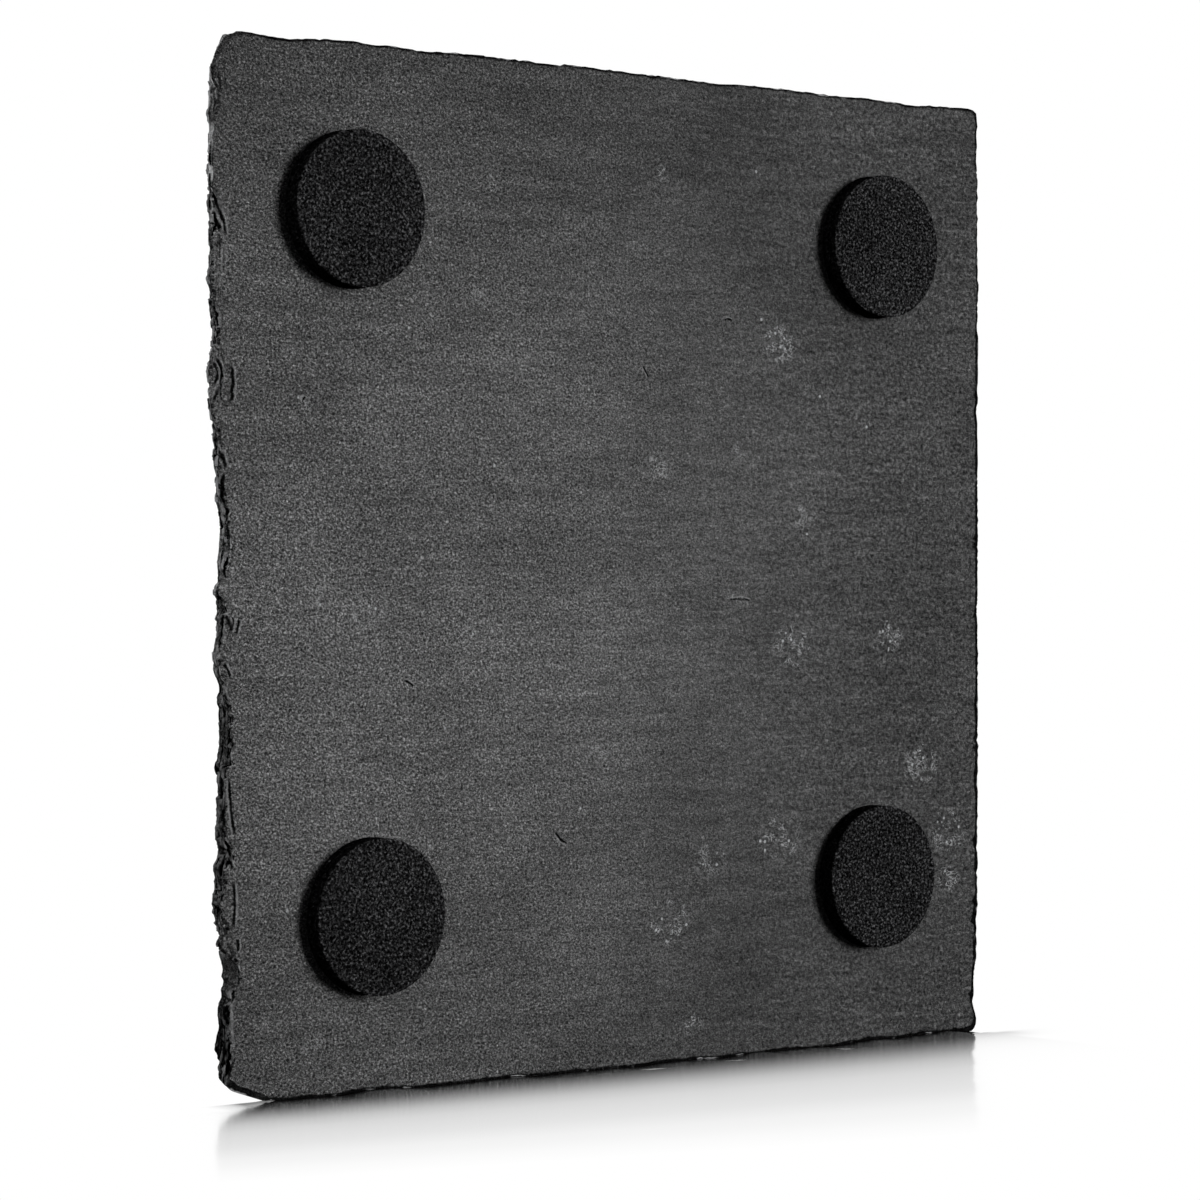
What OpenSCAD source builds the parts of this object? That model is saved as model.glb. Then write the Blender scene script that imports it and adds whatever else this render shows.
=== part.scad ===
// Slate drink coaster on four self-adhesive foam feet.
// It lies as it is used: +Z is up, and the origin is on the table under the middle of the tile.
// Slate splits along its beds, so the tile is a stack of thin beds, and the broken edge of each
// one stands a little in front of or behind the next.

/* [Slate tile] */
// Length of each side at the widest bed
tile_side = 100; // [80:1:120]
// Thickness of the tile from face to face
tile_t = 5; // [4:0.25:8]
// Width of the trimmed slope between the widest bed and the top face
trim_w = 3.3; // [1:0.1:4]
// Depth of the ragged break along the edge of each bed
break_depth = 0.5; // [0.1:0.05:0.8]
// Height of the short slope where one bed steps back from the next
step_t = 0.1; // [0.05:0.01:0.15]

/* [Feet] */
// Diameter of each foam foot
foot_d = 15; // [10:0.5:20]
// Thickness of the foam
foot_t = 2; // [1:0.25:4]
// Distance from the side of the tile to the middle of a foot
foot_inset = 16; // [14:0.5:22]
// Radius of the rim that meets the table
foot_rim_r = 0.3; // [0.1:0.05:0.4]
// How far the punched wall is drawn in halfway up the foam
foot_waist = 0.15; // [0.05:0.05:0.3]

/* [Adhesive] */
// Thickness of each double-sided adhesive disc
adhesive_t = 0.2; // [0.1:0.05:0.5]
// How far the adhesive stays back from the rim of its foot
adhesive_margin = 0.25; // [0:0.05:1]

/* [Hidden] */

tile_z = foot_t + adhesive_t;
half_side = tile_side / 2;

// Points along each side and round each corner of the outline
side_steps = 84;
corner_steps = 4;
station_count = 4 * (side_steps + corner_steps);

// Bottom of each bed, from the underside up, as shares of the thickness
bed_shares = [0, 0.07, 0.18, 0.38, 0.62, 0.9];
// How far each bed has stepped back across the trimmed slope
trim_shares = [0.05, 0, 0.16, 0.38, 0.64, 0.95];
// How much wider and narrower the slope gets round the rim, how often, and where it starts
sway_share = 0.25;
sway_count = 3;
sway_start_share = 0.13;
// How ragged the right, back, left and front sides are
rough_shares = [1, 0.45, 0.6, 0.5];
// What each nipped corner takes off the side before it and the side after it, as shares of a side:
// back right, back left, front left, front right
nip_shares = [[0.05, 0.022], [0.009, 0.011], [0.008, 0.007], [0.046, 0.022]];

// Blows of the trimming blade round the rim, and how much slope is left on the ridge between two
blow_count = 46;
ridge_share = 0.8;
// How far the blows are bunched, and in how many bunches
bunch_share = 0.35;
bunch_count = 5;
// Waves that make up the ragged break of a bed, and the share that each one has of it
wave_counts = [13, 31, 73];
wave_shares = [0.3, 0.4, 0.3];
// How far each wave moves along from one bed to the next, as shares of a turn
wave_shift_share = 0.37;
// Stretches of the rim that broke in clean slopes, and how clean the slope gets there
slope_count = 17;
slope_share = 0.85;

// Hollows in the outline, through every bed, as shares of a side:
// side (0 right, 1 back, 2 left, 3 front), middle, half width, depth
hollow_shares = [
    [0, -0.22, 0.34, 0.0125], [0, 0.05, 0.1, 0.006], [0, -0.155, 0.05, 0.008],
    [0, -0.385, 0.022, 0.012], [0, -0.44, 0.08, 0.013], [0, 0.125, 0.02, 0.004],
    [0, 0.22, 0.03, 0.004], [2, 0.42, 0.08, 0.0025], [2, 0.46, 0.03, 0.005],
    [2, -0.2, 0.09, 0.002], [1, -0.43, 0.06, 0.004], [1, 0.1, 0.05, 0.0015],
    [3, -0.43, 0.16, 0.003], [3, 0.31, 0.03, 0.002], [3, -0.34, 0.012, 0.003]
];
// Flakes off the underside's thin bed, in the same form
under_flake_shares = [
    [0, 0.33, 0.026, 0.015], [0, 0.175, 0.028, 0.026], [0, 0.1, 0.025, 0.009],
    [0, -0.055, 0.02, 0.012], [0, -0.2, 0.1, 0.003], [0, -0.27, 0.04, 0.005],
    [0, -0.355, 0.02, 0.01], [0, -0.44, 0.05, 0.003], [1, 0.24, 0.03, 0.009],
    [1, -0.32, 0.02, 0.006], [3, 0.36, 0.014, 0.007], [3, -0.22, 0.02, 0.005]
];
// Flakes off the top face's thin bed, in the same form
top_flake_shares = [
    [0, -0.3, 0.13, 0.05], [0, 0.36, 0.06, 0.025], [1, 0.28, 0.16, 0.085], [1, -0.2, 0.05, 0.02],
    [2, 0.05, 0.09, 0.035], [2, -0.36, 0.05, 0.016], [3, -0.1, 0.19, 0.06], [3, 0.34, 0.05, 0.02]
];

// Slip of each foot from its place, as shares of its diameter, for hand-placed feet
front_left_slip_shares = [0.02, 0.12];
front_right_slip_shares = [-0.14, 0.06];
back_left_slip_shares = [-0.01, 0.01];
back_right_slip_shares = [0.02, -0.01];

// Directions round the outline, seen from above: out of each side, and along it
function side_out(side) = [cos(90 * side), sin(90 * side)];
function side_along(side) = [-sin(90 * side), cos(90 * side)];
function nip_before(side) = tile_side * nip_shares[(side + 3) % 4][1];
function nip_after(side) = tile_side * nip_shares[side][0];

// Side of the outline that a station belongs to, and its number within that side and corner
function side_of(station) = floor(station / (side_steps + corner_steps));
function step_of(station) = station % (side_steps + corner_steps);

// Distance of a station from the middle of its side, along the side
function reach(station) =
    let (
        side = side_of(station),
        start = nip_before(side) - half_side,
        end = half_side - nip_after(side),
        share = min(step_of(station) / side_steps, 1)
    )
    start + (end - start) * share;

// Point of the full outline at a station: along a side, or round an elliptical nipped corner
function outline_point(station) =
    let (
        side = side_of(station),
        out = side_out(side),
        along = side_along(side),
        turn = 90 * max(step_of(station) - side_steps, 0) / corner_steps,
        nip_out = tile_side * nip_shares[side][1]
    )
    step_of(station) < side_steps
        ? half_side * out + reach(station) * along
        : (half_side - nip_out * (1 - cos(turn))) * out
            + (half_side - nip_after(side) * (1 - sin(turn))) * along;

// Place of a station on the way round, in sides: 0 at the front right corner, 1 at the back right
function place(station) =
    let (side = side_of(station))
    side + 1 / 2 + outline_point(station) * side_along(side) / tile_side;

// Depth that one list of hollows or flakes takes off at a station
function taken_off(shares, station) =
    let (cuts = [for (s = shares)
        let (
            apart = abs(place(station) - (s[0] + 1 / 2 + s[1])),
            gap = min(apart, 4 - apart)
        )
        tile_side * s[3] * max(0, 1 - pow(gap / s[2], 2))])
    cuts * [for (cut = cuts) 1];

// Bite of the trimming blade, from the ridge between two blows to the middle of a blow
function blow(turn) =
    let (bunched = blow_count * turn + bunch_share * sin(360 * bunch_count * turn))
    ridge_share + (1 - ridge_share) * sqrt(abs(sin(180 * bunched)));

// Ragged break of one bed, from 0 to 1, in whole waves so that it closes on itself
function ragged(turn, bed) =
    [for (w = [0 : len(wave_counts) - 1])
        (1 + sin(360 * (wave_counts[w] * turn + (w + 1) * wave_shift_share * bed))) / 2] * wave_shares;

// How far a bed's edge leans over towards the next bed, from 0 for a step to 1 for a clean slope
function lean(turn, bed) =
    slope_share * (1 + sin(360 * (slope_count * turn + wave_shift_share * bed))) / 2;

// How far the foot of a bed's edge stands inside the full outline at a station
function inset(station, bed) =
    let (turn = station / station_count)
    trim_w * trim_shares[bed] * blow(turn)
            * (1 + sway_share * sin(360 * sway_count * (turn - sway_start_share)))
        + break_depth * rough_shares[side_of(station)] * ragged(turn, bed)
        + taken_off(hollow_shares, station)
        + (bed == 0 ? taken_off(under_flake_shares, station) : 0)
        + (bed == len(bed_shares) - 1 ? taken_off(top_flake_shares, station) : 0);

// The same at the head of its edge, where it meets the next bed
function head_inset(station, bed) =
    let (
        here = inset(station, bed),
        above = inset(station, min(bed + 1, len(bed_shares) - 1))
    )
    here + (above - here) * lean(station / station_count, bed);

// Loop of points at one height, from how far each station stands inside the outline
function ring_at(insets, z) =
    [for (station = [0 : station_count - 1])
        let (p = outline_point(station) * (1 - insets[station] / half_side))
        [p[0], p[1], z]];

// Loops at the foot and the head of a bed's edge, with a short slope left to the next bed
function bed_rings(bed) =
    let (
        stations = [0 : station_count - 1],
        foot_z = bed == 0 ? 0 : tile_t * bed_shares[bed] + step_t / 2,
        head_z = bed == len(bed_shares) - 1 ? tile_t : tile_t * bed_shares[bed + 1] - step_t / 2
    )
    [
        ring_at([for (station = stations) inset(station, bed)], foot_z),
        ring_at([for (station = stations) head_inset(station, bed)], head_z)
    ];

module slate_tile() {
    rings = [for (bed = [0 : len(bed_shares) - 1]) each bed_rings(bed)];
    last_ring = len(rings) - 1;
    points = [for (ring = rings) each ring];
    walls = [
        for (ring = [0 : last_ring - 1], station = [0 : station_count - 1])
            let (
                next = (station + 1) % station_count,
                a = ring * station_count + station,
                b = ring * station_count + next,
                c = a + station_count,
                d = b + station_count
            )
            each [[a, c, d], [a, d, b]]
    ];
    underside = [for (station = [0 : station_count - 1]) station];
    top_face = [for (station = [station_count - 1 : -1 : 0]) last_ring * station_count + station];
    color([0.27, 0.28, 0.29])
        translate([0, 0, tile_z])
            polyhedron(points = points, faces = concat([underside, top_face], walls), convexity = 4);
}

// Middle of a foot, from its corner of the tile and its slip
function foot_place(corner, slip_shares) =
    (half_side - foot_inset) * corner + foot_d * slip_shares;

// Half section of a foot: a rounded lower rim and a wall drawn in by the punch
module foot_section() {
    radius = foot_d / 2;
    waist_r = (pow(foot_t / 2, 2) + pow(foot_waist, 2)) / (2 * foot_waist);
    difference() {
        union() {
            square([radius - foot_rim_r, foot_t]);
            translate([0, foot_rim_r])
                square([radius, foot_t - foot_rim_r]);
            translate([radius - foot_rim_r, foot_rim_r])
                circle(r = foot_rim_r, $fn = 32);
        }
        translate([radius + waist_r - foot_waist, foot_t / 2])
            circle(r = waist_r, $fn = 96);
    }
}

module foot(corner, slip_shares) {
    color([0.07, 0.07, 0.07])
        translate(foot_place(corner, slip_shares))
            rotate_extrude($fn = 96)
                foot_section();
}

module adhesive(corner, slip_shares) {
    color([0.16, 0.15, 0.13])
        translate([each foot_place(corner, slip_shares), foot_t])
            cylinder(h = adhesive_t, r = foot_d / 2 - adhesive_margin, $fn = 96);
}

slate_tile();
foot([-1, -1], front_left_slip_shares);  // front_left_foot
foot([1, -1], front_right_slip_shares);  // front_right_foot
foot([-1, 1], back_left_slip_shares);  // back_left_foot
foot([1, 1], back_right_slip_shares);  // back_right_foot
adhesive([-1, -1], front_left_slip_shares);  // front_left_adhesive
adhesive([1, -1], front_right_slip_shares);  // front_right_adhesive
adhesive([-1, 1], back_left_slip_shares);  // back_left_adhesive
adhesive([1, 1], back_right_slip_shares);  // back_right_adhesive
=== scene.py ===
import math

import bpy
import numpy as np
from mathutils import Matrix, Vector, noise
from mathutils.bvhtree import BVHTree
from mathutils.geometry import delaunay_2d_cdt


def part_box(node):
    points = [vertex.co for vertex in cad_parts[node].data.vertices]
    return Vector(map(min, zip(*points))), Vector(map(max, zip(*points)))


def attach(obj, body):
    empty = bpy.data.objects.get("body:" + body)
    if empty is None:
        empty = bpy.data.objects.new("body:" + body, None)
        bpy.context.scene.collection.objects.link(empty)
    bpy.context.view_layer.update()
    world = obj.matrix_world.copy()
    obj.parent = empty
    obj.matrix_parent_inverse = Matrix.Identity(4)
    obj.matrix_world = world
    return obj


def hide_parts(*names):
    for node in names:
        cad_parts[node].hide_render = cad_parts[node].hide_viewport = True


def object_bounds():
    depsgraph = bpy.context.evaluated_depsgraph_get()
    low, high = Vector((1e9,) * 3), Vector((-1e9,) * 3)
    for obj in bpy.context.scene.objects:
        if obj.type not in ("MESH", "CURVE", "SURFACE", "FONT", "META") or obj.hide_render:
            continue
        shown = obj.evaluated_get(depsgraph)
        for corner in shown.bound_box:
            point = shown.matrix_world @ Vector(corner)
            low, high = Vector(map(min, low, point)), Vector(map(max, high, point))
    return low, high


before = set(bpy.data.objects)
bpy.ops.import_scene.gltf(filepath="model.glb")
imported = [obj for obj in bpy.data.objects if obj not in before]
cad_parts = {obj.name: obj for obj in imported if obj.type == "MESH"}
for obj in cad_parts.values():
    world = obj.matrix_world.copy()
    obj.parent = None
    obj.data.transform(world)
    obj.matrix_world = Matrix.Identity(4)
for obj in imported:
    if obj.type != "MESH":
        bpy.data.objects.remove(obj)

cadLow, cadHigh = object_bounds()
tileLow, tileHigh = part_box("slate_tile")
corners = ["front_left", "front_right", "back_left", "back_right"]
footBoxes = {corner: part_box(corner + "_foot") for corner in corners}
discBoxes = {corner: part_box(corner + "_adhesive") for corner in corners}
print("frame loaded: tile", [round(v, 4) for v in tileHigh - tileLow])


# ---- shader helpers: a wrapped socket adds Math nodes when it is used in a sum
class Socket:
    def __init__(self, finish, socket):
        self.finish, self.socket = finish, socket

    def math(self, operation, *values):
        return self.finish.node("Math", {"operation": operation}, dict(enumerate(values)))

    def __add__(self, other):
        return self.math("ADD", self, other)

    def __radd__(self, other):
        return self.math("ADD", other, self)

    def __sub__(self, other):
        return self.math("SUBTRACT", self, other)

    def __rsub__(self, other):
        return self.math("SUBTRACT", other, self)

    def __mul__(self, other):
        return self.math("MULTIPLY", self, other)

    def __rmul__(self, other):
        return self.math("MULTIPLY", other, self)

    def __truediv__(self, other):
        return self.math("DIVIDE", self, other)

    def __pow__(self, other):
        return self.math("POWER", self, other)

    def __gt__(self, other):
        return self.math("GREATER_THAN", self, other)

    def __abs__(self):
        return self.math("ABSOLUTE", self)

    def held(self, low=0.0, high=1.0):  # kept between two values
        return self.math("MAXIMUM", self.math("MINIMUM", self, high), low)

    def between(self, low, high):  # 0 at low, 1 at high, smooth in between
        return self.finish.node("MapRange", {"interpolation_type": "SMOOTHSTEP"},
                                {"Value": self, "From Min": low, "From Max": high})


class Finish:
    def __init__(self, owner):
        owner.use_nodes = True
        self.tree = owner.node_tree
        self.tree.nodes.clear()

    def node(self, kind, settings=None, sockets=None, output=0):
        made = self.tree.nodes.new("ShaderNode" + kind)
        for name, value in (settings or {}).items():
            if name == "stops":
                ramp = made.color_ramp
                ramp.elements.remove(ramp.elements[1])
                ramp.elements[0].position = value[0][0]
                ramp.elements[0].color = (*value[0][1], 1)
                for place, colour in value[1:]:
                    ramp.elements.new(place).color = (*colour, 1)
            else:
                setattr(made, name, value)
        for key, value in (sockets or {}).items():
            if isinstance(value, Socket):
                self.tree.links.new(value.socket, made.inputs[key])
            else:
                made.inputs[key].default_value = value
        return Socket(self, made.outputs[output])

    def vector(self, operation, *values, output=0):
        return self.node("VectorMath", {"operation": operation}, dict(enumerate(values)), output)

    def length(self, value):
        return self.vector("LENGTH", value, output="Value")

    def place(self):  # object coordinates
        return self.node("TexCoord", output="Object")

    def along(self, axis, place):
        return self.node("SeparateXYZ", None, {0: place}, axis)

    def stored(self, name):  # a value kept on the mesh's points
        return self.node("Attribute", {"attribute_name": name}, output="Fac")

    def at(self, scale):  # object coordinates, stretched
        scale = (scale,) * 3 if isinstance(scale, (int, float)) else scale
        return self.vector("MULTIPLY", self.place(), scale)

    def grain(self, scale, detail=2.0, rough=0.5, twist=0.0):
        return self.node("TexNoise", None,
                         {"Vector": self.at(scale), "Scale": 1.0, "Detail": detail,
                          "Roughness": rough, "Distortion": twist}, output="Fac")

    def specks(self, run, edge, above):  # a round speck in each of the few cells picked out
        cells = {"Vector": self.at(run), "Scale": 1.0}
        spot = self.node("TexVoronoi", None, cells, output="Distance")
        middle = self.node("TexVoronoi", None, cells, output="Position")
        pick = self.node("TexWhiteNoise", None, {"Vector": middle}, output="Value")
        return (1 - spot.between(*edge)) * (pick > above)

    def apart(self, place, middle, half):  # how far a place is from a box
        place = self.vector("ABSOLUTE", self.vector("SUBTRACT", place, middle))
        return self.length(self.vector("MAXIMUM", self.vector("SUBTRACT", place, half), (0, 0, 0)))

    def mixed(self, share, first, colour):
        return self.node("Mix", {"data_type": "RGBA"},
                         {0: share, 6: first, 7: colour + (1,)}, output=2)

    def tinted(self, colour, value):  # a colour times a value
        return self.node("VectorMath", {"operation": "SCALE"}, {0: colour, "Scale": value})

    def bumped(self, height, distance):
        return self.node("Bump", None, {"Height": height, "Distance": distance})

    def layered(self, share, under, over):
        return self.node("MixShader", None, {0: share, 1: under, 2: over})

    def done(self, surface, kind="OutputMaterial"):
        out = self.tree.nodes.new("ShaderNode" + kind)
        self.tree.links.new(surface.socket, out.inputs["Surface"])

    def painted(self, colour, roughness, gloss, normal):
        self.done(self.node("BsdfPrincipled", None,
                            {"Base Color": colour, "Roughness": roughness,
                             "Specular IOR Level": gloss, "Normal": normal}))


def smooth(low, high, value):  # for arrays
    t = np.clip((value - low) / (high - low), 0, 1)
    return t * t * (3 - 2 * t)


def smoothStep(low, high, value):  # the same for one number, which is quicker
    t = max(0.0, min(1.0, (value - low) / (high - low)))
    return t * t * (3 - 2 * t)


def noiseAt(x, y, run, turn):  # from -1 to 1
    return noise.noise(Vector((x * run, y * run, turn)))


def quad(row, i, count, first=0):  # a face between two rows of points, each closed to a ring
    low, high, j = first + row * count, first + (row + 1) * count, (i + 1) % count
    return low + i, low + j, high + j, high + i


def placed(name, data):  # a new object in the scene
    made = bpy.data.objects.new(name, data)
    bpy.context.scene.collection.objects.link(made)
    return made


def newPiece(name, points, faces, material, crease):
    mesh = bpy.data.meshes.new(name)
    mesh.from_pydata(points, [], faces)
    mesh.shade_smooth()
    mesh.set_sharp_from_angle(angle=math.radians(crease))
    mesh.materials.append(material)
    return placed(name, mesh)


# ---- camera: below the tile, looking up at its underside, with +Y up in the picture
cameraLook = {
    "lens": 118.7, "sensor": 36,
    "turn": 39.75,  # degrees between the line of sight and the tile's normal
    "aside": 0.00264, "above": 0.00308,  # of the middle of the underside from the line of sight
    "distance": 0.3964,
}


def makeCamera():
    look = cameraLook
    turn = math.radians(look["turn"])
    right = Vector((-math.cos(turn), 0, -math.sin(turn)))
    up = Vector((0, 1, 0))
    ahead = Vector((-math.sin(turn), 0, math.cos(turn)))
    middle = Vector((0, 0, tileLow.z))
    place = middle - look["aside"] * right - look["above"] * up - look["distance"] * ahead
    data = bpy.data.cameras.new("camera")
    data.lens, data.sensor_width = look["lens"], look["sensor"]
    data.clip_start, data.clip_end = 0.01, 10
    camera = placed("camera", data)
    turned = Matrix((right, up, -ahead)).transposed().to_4x4()
    camera.matrix_world = Matrix.Translation(place) @ turned
    bpy.context.scene.camera = camera


makeCamera()

# ---- light: one lamp for each face of the tile, and a soft white world
lampLook = {
    # place in metres, size in metres, power in watts
    "underKey": ((-0.38, 0.13, -0.84), 0.40, 11.5),
    "rimSide": ((0.36, 0.22, 0.012), 0.08, 1.0),
    "topKey": ((-0.28, -0.34, 0.50), 0.20, 4.0),
    "topFill": ((0.45, 0.30, 0.34), 0.36, 1.6),
}
worldLook = {"ambient": 0.03, "seen": 1.0}


def makeLamps():
    for name, (place, size, power) in lampLook.items():
        data = bpy.data.lights.new(name, "AREA")
        data.shape, data.size, data.energy = "DISK", size, power
        lamp = placed(name, data)
        lamp.location = place
        lamp.rotation_euler = (-Vector(place)).to_track_quat("-Z", "Y").to_euler()


def makeWorld():
    world = bpy.data.worlds.new("studio")
    bpy.context.scene.world = world
    f = Finish(world)
    rays = ["Is Camera Ray", "Is Glossy Ray", "Is Transmission Ray"]
    seen, glossy, through = [f.node("LightPath", output=ray) for ray in rays]
    share = (seen + glossy + through).held()
    ambient = worldLook["ambient"]
    strength = ambient + share * (worldLook["seen"] - ambient)
    sky = f.node("Background", None, {"Color": (1, 1, 1, 1), "Strength": strength})
    f.done(sky, "OutputWorld")


makeLamps()
makeWorld()
print("camera and lamps made")

# ---- floors: one under the edge that the coaster stands on in the photograph, one under its feet.
# Each shows only to a camera in front of it and blocks no light, so neither is in the other's way.
floorLook = {
    "colour": 0.80,  # painted white
    "edgeGlow": 1.0, "tableGlow": 0.45,  # what is added so that it stays white
    "contact": 0.75, "contactReach": 0.0030,  # soft shadow close round the coaster
    # the same at the edge, where one corner is cut off and the shadow is longer forward and back
    "edgeReach": 0.0014, "cutCorner": 0.0034, "longer": 0.35,
    "leftEnd": (-0.001, 0.001), "rightEnd": (0, 0.002),  # where it fades, across the tile's two ends
    "endNear": -0.0015, "endFar": -0.0070,  # and in front, beyond those ends
    "leftSlope": 0.674, "rightSlope": 1.0,  # of the two sides of the reflection
    "leftBare": (0.0030, 0.0050), "rightBare": (-0.0010, 0.0010),  # where each side ends
    "mirrorBlur": 0.14,
    # how far in front the reflection has faded out, at the middle and how much less for each metre of x
    "mirrorReach": 0.0615, "mirrorLess": 0.29,
    "mirror": [(0.0, 1.0), (0.058, 0.965), (0.097, 0.89), (0.136, 0.79), (0.174, 0.68), (0.24, 0.50),
               (0.275, 0.43), (0.343, 0.335), (0.41, 0.29), (0.535, 0.23), (0.60, 0.18), (0.68, 0.12),
               (0.76, 0.09), (0.86, 0.04), (0.99, 0.0)],
    "under": 0.012, "underDepth": 0.0009,  # the floor under the edge that it stands on, painted dark as its shadow
    "underEdge": 0.0001, "underEnd": 0.003,
    "plain": (0.10, 0.30),  # beyond this the floor is plain white
    "size": 1.6, "gap": 0.00002,
    # the floor meets the edge all along: from, to, in what steps, and fading how far in front
    "restFrom": -0.0480, "restTo": 0.0448, "restStep": 0.0005, "restFade": 0.0025,
    "restRows": (1, 0.7, 0.4, 0),
    "restEases": (0.003, 0.004),  # how far in from each end it follows the edge in full
    "straightFrom": (0.004, 0.006),  # how far out from each end it is one flat sheet
}


# a painted contact shadow: strongest at the box round the coaster, fading with distance from it
def contactShade(f, low, high, reach, longer):
    scale = Vector((1, 1, longer))
    apart = f.apart(f.at(scale), (low + high) / 2 * scale, (high - low) / 2 * scale)
    apart = 0 - apart / reach
    return floorLook["contact"] * apart.math("EXPONENT", apart)


def tableShader(f, place):
    touch = 1 - contactShade(f, cadLow, cadHigh, floorLook["contactReach"], 1)
    paint = f.tinted((1, 1, 1), floorLook["colour"] * touch)
    paint = f.node("BsdfDiffuse", None, {"Color": paint})
    glow = f.tinted((1, 1, 1), floorLook["tableGlow"] * touch)
    glow = f.node("Emission", None, {"Color": glow})
    return f.node("AddShader", None, {0: paint, 1: glow})


def edgeShader(f, place):
    look = floorLook
    x, z = f.along("X", place), f.along("Z", place)
    low, high = cadLow.copy(), cadHigh.copy()
    low.z, high.x = tileLow.z, cadHigh.x - look["cutCorner"]
    shadow = contactShade(f, low, high, look["edgeReach"], look["longer"])
    # beside the tile the shadow is short, and ends before the floor does
    beside = (x - tileHigh.x).between(*look["leftEnd"]) + (look["restFrom"] - x).between(*look["rightEnd"])
    close = z.between(look["endFar"], look["endNear"]) * (1 - z.between(look["endNear"], 0))
    touch = 1 - (1 - beside.held() * (1 - close)) * shadow
    glow = f.tinted((1, 1, 1), look["edgeGlow"] * touch)
    glow = f.node("Emission", None, {"Color": glow})
    gloss = {"Color": f.tinted((1, 1, 1), touch), "Roughness": look["mirrorBlur"]}
    gloss = f.node("BsdfGlossy", None, gloss)
    left = x + look["leftSlope"] * z - tileHigh.x
    right = tileLow.x - x - look["rightSlope"] * z
    bare = left.between(*look["leftBare"]) + right.between(*look["rightBare"])
    ahead = (tileLow.z - z) / (look["mirrorReach"] - look["mirrorLess"] * x)
    stops = [(at, (share,) * 3) for at, share in look["mirror"]]
    share = f.node("ValToRGB", {"stops": stops}, {"Fac": ahead}) * (1 - bare.held())
    # painted shadow: a dark sheet on the strip under the tile's edge
    paintedShading = f.node("BsdfDiffuse", None, {"Color": (look["under"],) * 3 + (1,)})
    under = z.between(tileLow.z, tileLow.z + look["underEdge"])
    under = under * (look["restTo"] - x).between(0, look["underEnd"])
    return f.layered(under, f.layered(share, glow, gloss), paintedShading)


def makeFloor(name, points, faces, front, shader):
    material = bpy.data.materials.new(name)
    f = Finish(material)
    place = f.place()
    white = f.node("Emission", None, {"Color": (1, 1, 1, 1), "Strength": 1.0})
    plain = f.length(place).between(*floorLook["plain"])
    shown = f.layered(plain, shader(f, place), white)
    seen = f.node("LightPath", output="Is Camera Ray")
    behind = f.node("NewGeometry", output="Backfacing")
    clear = f.node("BsdfTransparent", None, {"Color": (1, 1, 1, 1)})
    f.done(f.layered(seen * (1 - behind), clear, shown))
    mesh = bpy.data.meshes.new(name)
    mesh.from_pydata(points, [], faces)
    mesh.shade_smooth()
    if mesh.polygons[0].normal.dot(front) < 0:
        mesh.flip_normals()
    mesh.materials.append(material)
    placed(name, mesh)


def makeFloors(edge):  # the places along the edge that the tile stands on
    look = floorLook
    far, gap, fade = look["size"], look["gap"], look["restFade"]
    start, end, step = look["restFrom"], look["restTo"], look["restStep"]
    xs = np.arange(start, end + 0.5 * step, step)
    touching = [edge[np.abs(edge[:, 0] - x) < 1.5 * step, 1].max() for x in xs]
    touching = np.convolve(np.pad(touching, 2, "edge"), np.ones(5) / 5, "valid")
    slope, level = np.polyfit(xs, touching, 1)
    first, last = look["restEases"]
    rises = (touching - level - slope * xs) * smooth(start, start + first, xs) * smooth(end, end - last, xs)
    first, last = look["straightFrom"]
    xs = [-far, start - first] + list(xs) + [end + last, far]
    rises = [0, 0] + list(rises) + [0, 0]
    zs = [-far] + [-fade * share for share in look["restRows"]]
    zs += [tileLow.z, tileLow.z + look["underDepth"]]
    points = [(x, level + slope * x - gap + rise * smoothStep(-fade, 0, z), z)
              for z in zs for x, rise in zip(xs, rises)]
    faces = [quad(k, i, len(xs)) for k in range(len(zs) - 1) for i in range(len(xs) - 1)
             if zs[k] < 0 or 2 <= i < len(xs) - 2]  # only its own strip runs on under the edge
    makeFloor("edge_floor", points, faces, Vector((0, 1, 0)), edgeShader)
    points = [(-far, -far, -gap), (far, -far, -gap), (far, far, -gap), (-far, far, -gap)]
    makeFloor("table_floor", points, [(0, 1, 2, 3)], Vector((0, 0, 1)), tableShader)


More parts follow.
